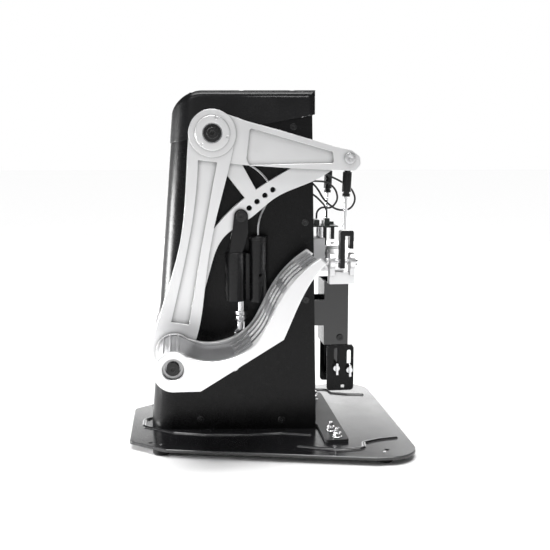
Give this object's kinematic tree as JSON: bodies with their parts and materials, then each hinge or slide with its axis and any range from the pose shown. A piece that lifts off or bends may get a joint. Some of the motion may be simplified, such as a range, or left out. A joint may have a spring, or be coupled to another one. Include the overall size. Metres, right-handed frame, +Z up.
{
  "type": "flight simulator rudder pedals",
  "caption": "Hanging rudder pedals on a tower: two linked pedal arms with toe brakes, tie rods, a rocker and a sprung centring carriage on a floor plate",
  "frame": {"origin": "middle of the bounding box, on the floor", "axes": "+Z up, +X away from the user, +Y to the user's left"},
  "size_m": [0.37, 0.376, 0.4705],
  "materials": {
    "plate_paint": "satin black powder coat",
    "tower_paint": "satin black powder coat",
    "foot_rubber": "matt",
    "cap_plastic": "fine grained",
    "frame_paint": "satin",
    "dark_steel": "black oxide",
    "bright_steel": "polished",
    "bearing_steel": "ground",
    "arm_metal": "bead blasted",
    "tread_metal": "brushed",
    "grey_casting": "as cast",
    "black_anodised": "anodised",
    "spring_steel": "drawn wire",
    "board": "solder resist",
    "lead_jacket": "satin",
    "lead_pale": "satin"
  },
  "bodies": {
    "chassis": {"base_plate": "plate_paint", "rubber_feet": "foot_rubber", "foot_screws": "bright_steel", "tower_shell": "tower_paint", "tower_cap": "cap_plastic", "cap_screws": "dark_steel", "shell_screws": "dark_steel", "inner_frame": "frame_paint", "frame_bolts": "bright_steel", "shaft_housing": "black_anodised", "pivot_shaft": "bearing_steel", "hub_bolts": "dark_steel", "pivot_block": "grey_casting", "rocker_bearings": "bearing_steel", "spring_cover": "plate_paint", "control_board": "board", "board_standoffs": "bright_steel", "hall_sensor": "board", "wire_harness": "lead_jacket"},
    "rocker": {"rocker": "arm_metal", "rocker_shaft": "bearing_steel", "rocker_pins": "bright_steel"},
    "spring_carriage": {"spring_carriage": "tower_paint", "centring_springs": "spring_steel"},
    "wing_bolt_front": {"wing_bolt_front": "bright_steel"},
    "wing_bolt_rear": {"wing_bolt_rear": "bright_steel"},
    "right_arm": {"right_arm": "arm_metal", "right_bearings": "bearing_steel", "right_hub_cover": "arm_metal", "right_pedal_axle": "bearing_steel", "right_arm_bolts": "dark_steel", "right_sensor_lead": "lead_pale"},
    "right_tie_rod": {"right_rod_end": "black_anodised", "right_tie_rod": "bright_steel"},
    "right_drop_link": {"right_drop_link": "black_anodised"},
    "right_pedal": {"right_pedal": "arm_metal", "right_foot_plate": "tread_metal", "right_brake_pin": "bearing_steel"},
    "right_brake_unit": {"right_brake_fork": "black_anodised", "right_brake_barrel": "black_anodised", "right_sensor_barrel": "black_anodised", "right_brake_spring": "spring_steel"},
    "right_piston": {"right_piston_rod": "bright_steel"},
    "left_arm": {"left_arm": "arm_metal", "left_bearings": "bearing_steel", "left_hub_cover": "arm_metal", "left_pedal_axle": "bearing_steel", "left_arm_bolts": "dark_steel", "left_sensor_lead": "lead_pale"},
    "left_tie_rod": {"left_rod_end": "black_anodised", "left_tie_rod": "bright_steel"},
    "left_drop_link": {"left_drop_link": "black_anodised"},
    "left_pedal": {"left_pedal": "arm_metal", "left_foot_plate": "tread_metal", "left_brake_pin": "bearing_steel"},
    "left_brake_unit": {"left_brake_fork": "black_anodised", "left_brake_barrel": "black_anodised", "left_sensor_barrel": "black_anodised", "left_brake_spring": "spring_steel"},
    "left_piston": {"left_piston_rod": "bright_steel"}
  },
  "joints": [
    {"name": "right_arm_swing", "type": "hinge", "parent": "chassis", "child": "right_arm", "pos_m": [-0.0718, -0.067, 0.4135], "axis": [0, 1, 0], "range_deg": [-7.5, 7.5], "stiffness_Nm_per_rad": 25},
    {"name": "right_tie_rod_pivot", "type": "hinge", "parent": "right_arm", "child": "right_tie_rod", "pos_m": [0.1055, -0.067, 0.3826], "axis": [0, 1, 0], "range_deg": [-10.2, 10.2]},
    {"name": "right_drop_link_pivot", "type": "hinge", "parent": "rocker", "child": "right_drop_link", "pos_m": [0.098, -0.067, 0.247], "axis": [1, 0, 0], "range_deg": [-20.2, 20.2]},
    {"name": "right_toe_brake", "type": "hinge", "parent": "right_arm", "child": "right_pedal", "pos_m": [-0.125, -0.134, 0.1378], "axis": [0, 1, 0], "range_deg": [0, 12], "stiffness_Nm_per_rad": 20, "springref_deg": -4.58},
    {"name": "right_brake_unit_pivot", "type": "hinge", "parent": "right_arm", "child": "right_brake_unit", "pos_m": [-0.0355, -0.062, 0.3082], "axis": [0, 1, 0], "range_deg": [-0.5, 0.2]},
    {"name": "right_piston_slide", "type": "slide", "parent": "right_brake_unit", "child": "right_piston", "axis": [0, 0, -1], "range_m": [0, 0.0195], "deforming": ["right_brake_spring"]},
    {"name": "left_arm_swing", "type": "hinge", "parent": "chassis", "child": "left_arm", "pos_m": [-0.0718, 0.067, 0.4135], "axis": [0, 1, 0], "range_deg": [-7.5, 7.5]},
    {"name": "left_tie_rod_pivot", "type": "hinge", "parent": "left_arm", "child": "left_tie_rod", "pos_m": [0.1055, 0.067, 0.3826], "axis": [0, 1, 0], "range_deg": [-10.2, 10.2]},
    {"name": "left_drop_link_pivot", "type": "hinge", "parent": "rocker", "child": "left_drop_link", "pos_m": [0.098, 0.067, 0.247], "axis": [1, 0, 0], "range_deg": [-20.2, 20.2]},
    {"name": "left_toe_brake", "type": "hinge", "parent": "left_arm", "child": "left_pedal", "pos_m": [-0.125, 0.134, 0.1378], "axis": [0, 1, 0], "range_deg": [0, 12], "stiffness_Nm_per_rad": 20, "springref_deg": -4.58},
    {"name": "left_brake_unit_pivot", "type": "hinge", "parent": "left_arm", "child": "left_brake_unit", "pos_m": [-0.0355, 0.062, 0.3082], "axis": [0, 1, 0], "range_deg": [-0.5, 0.2]},
    {"name": "left_piston_slide", "type": "slide", "parent": "left_brake_unit", "child": "left_piston", "axis": [0, 0, -1], "range_m": [0, 0.0195], "deforming": ["left_brake_spring"]},
    {"name": "rocker_swing", "type": "hinge", "parent": "chassis", "child": "rocker", "pos_m": [0.098, 0, 0.247], "axis": [1, 0, 0], "range_deg": [-20.2, 20.2]},
    {"name": "carriage_slide", "type": "slide", "parent": "chassis", "child": "spring_carriage", "axis": [0, 0, 1], "range_m": [-0.02, 0.002]},
    {"name": "wing_bolt_front_turn", "type": "hinge", "parent": "chassis", "child": "wing_bolt_front", "pos_m": [0.0998, -0.03, 0.092], "axis": [0, 1, 0], "range_deg": [-180, 180]},
    {"name": "wing_bolt_rear_turn", "type": "hinge", "parent": "chassis", "child": "wing_bolt_rear", "pos_m": [0.1182, -0.03, 0.089], "axis": [0, 1, 0], "range_deg": [-180, 180]}
  ],
  "couplings": [
    {"joint": "right_tie_rod_pivot", "follows": "right_arm_swing", "ratio": -1.33},
    {"joint": "right_drop_link_pivot", "follows": "right_arm_swing", "ratio": -2.646},
    {"joint": "right_brake_unit_pivot", "follows": "right_toe_brake", "ratio": -0.03},
    {"joint": "right_piston_slide", "follows": "right_toe_brake", "m_per_rad": 0.0902},
    {"joint": "left_arm_swing", "follows": "right_arm_swing", "ratio": -1},
    {"joint": "left_tie_rod_pivot", "follows": "right_arm_swing", "ratio": 1.33},
    {"joint": "left_drop_link_pivot", "follows": "right_arm_swing", "ratio": -2.646},
    {"joint": "left_brake_unit_pivot", "follows": "left_toe_brake", "ratio": -0.03},
    {"joint": "left_piston_slide", "follows": "left_toe_brake", "m_per_rad": 0.0902},
    {"joint": "rocker_swing", "follows": "right_arm_swing", "ratio": 2.646}
  ]
}
